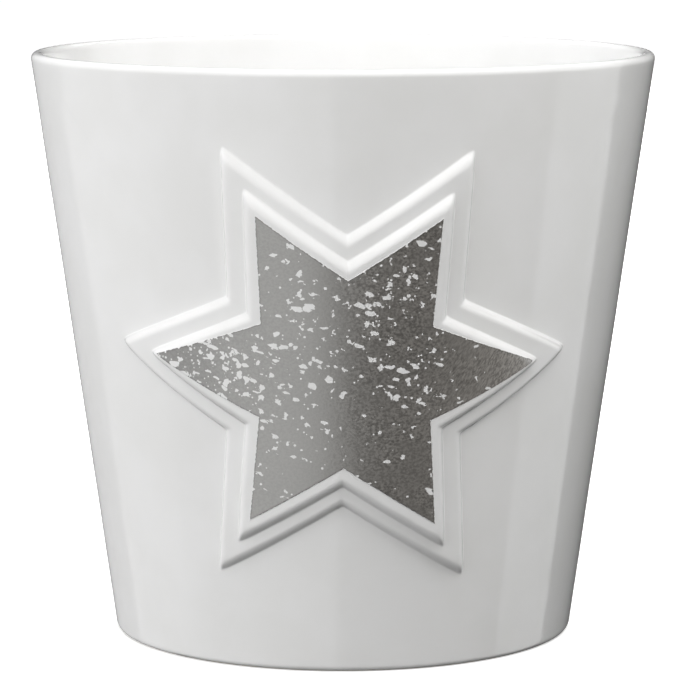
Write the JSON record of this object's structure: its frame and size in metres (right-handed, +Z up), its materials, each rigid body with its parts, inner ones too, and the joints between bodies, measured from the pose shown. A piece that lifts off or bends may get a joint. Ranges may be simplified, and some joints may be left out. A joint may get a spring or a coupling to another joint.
{
  "type": "tealight holder",
  "caption": "Tapered round ceramic pot with a raised star and silver lustre panel on its front, holding a loose tealight in an aluminium cup.",
  "frame": {"origin": "centre of the foot, on the surface the pot stands on", "axes": "+Z up along the pot's axis, the star faces -Y, +X to the right of a viewer who faces the star"},
  "size_m": [0.1196, 0.1196, 0.112],
  "materials": {
    "white_glaze": "glossy",
    "silver_lustre": "satin, mottled, with chips of white glaze showing",
    "cup_aluminium": "bright pressed foil",
    "wax": "waxy",
    "wick_cotton": "braided",
    "sustainer_steel": "tin plated"
  },
  "bodies": {
    "holder": {"pot": "white_glaze", "star_panel": "silver_lustre"},
    "tealight_shell": {"tealight_cup": "cup_aluminium"},
    "candle": {"tealight_wax": "wax", "tealight_wick": "wick_cotton", "wick_sustainer": "sustainer_steel"}
  },
  "joints": [
    {"name": "tealight_lift", "type": "slide", "parent": "holder", "child": "tealight_shell", "axis": [0, 0, 1], "range_m": [0, 0.12]},
    {"name": "candle_lift", "type": "slide", "parent": "tealight_shell", "child": "candle", "axis": [0, 0, 1], "range_m": [0, 0.03]}
  ]
}
